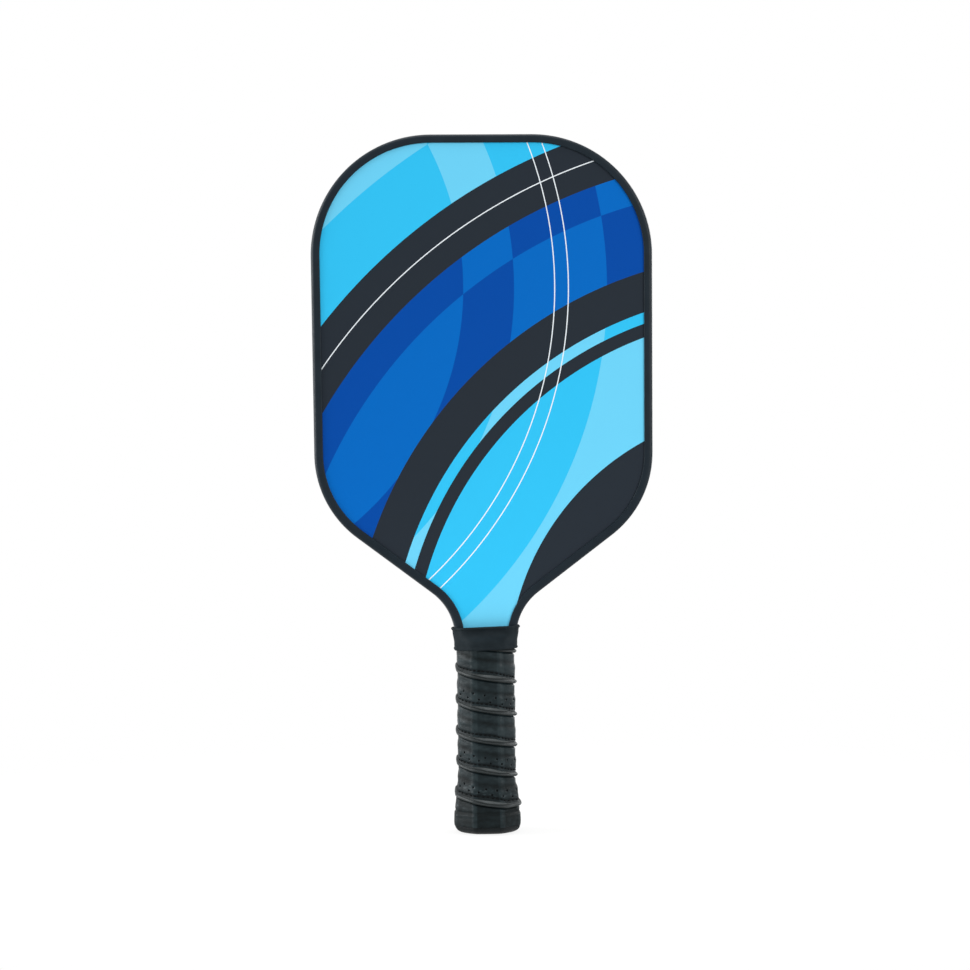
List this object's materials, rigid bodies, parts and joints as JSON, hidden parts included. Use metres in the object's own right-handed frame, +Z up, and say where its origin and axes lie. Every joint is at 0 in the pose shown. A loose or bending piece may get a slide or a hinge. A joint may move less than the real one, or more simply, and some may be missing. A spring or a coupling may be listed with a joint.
{
  "type": "pickleball paddle",
  "caption": "Flat square-shouldered paddle with a honeycomb panel, printed faces, an edge guard and an octagonal handle wound with a cushioned, piped grip, for striking a ball.",
  "frame": {"origin": "centre of the flat end of the butt cap, on the floor when the paddle stands on it", "axes": "+Z up the handle's axis to the top of the head, +X across the head to the right as seen from the front, +Y from the front face to the back face"},
  "size_m": [0.199, 0.0359, 0.406],
  "materials": {
    "core": "milky",
    "adhesive": "clear amber",
    "printed_face": "satin print",
    "guard": "satin",
    "handle_foam": "rigid foam",
    "cap": "satin",
    "steel": "bright",
    "grip": "satin synthetic",
    "grip_piping": "satin synthetic",
    "finishing_tape": "matt",
    "collar": "matt"
  },
  "bodies": {
    "root": {"honeycomb_core": "core", "front_film": "adhesive", "back_film": "adhesive", "front_face_sheet": "printed_face", "back_face_sheet": "printed_face", "edge_guard": "guard", "front_handle_half": "handle_foam", "back_handle_half": "handle_foam", "butt_cap": "cap", "butt_cap_staples": "steel", "grip_tape": "grip", "grip_piping": "grip_piping", "finishing_tape": "finishing_tape", "collar": "collar"}
  },
  "joints": []
}
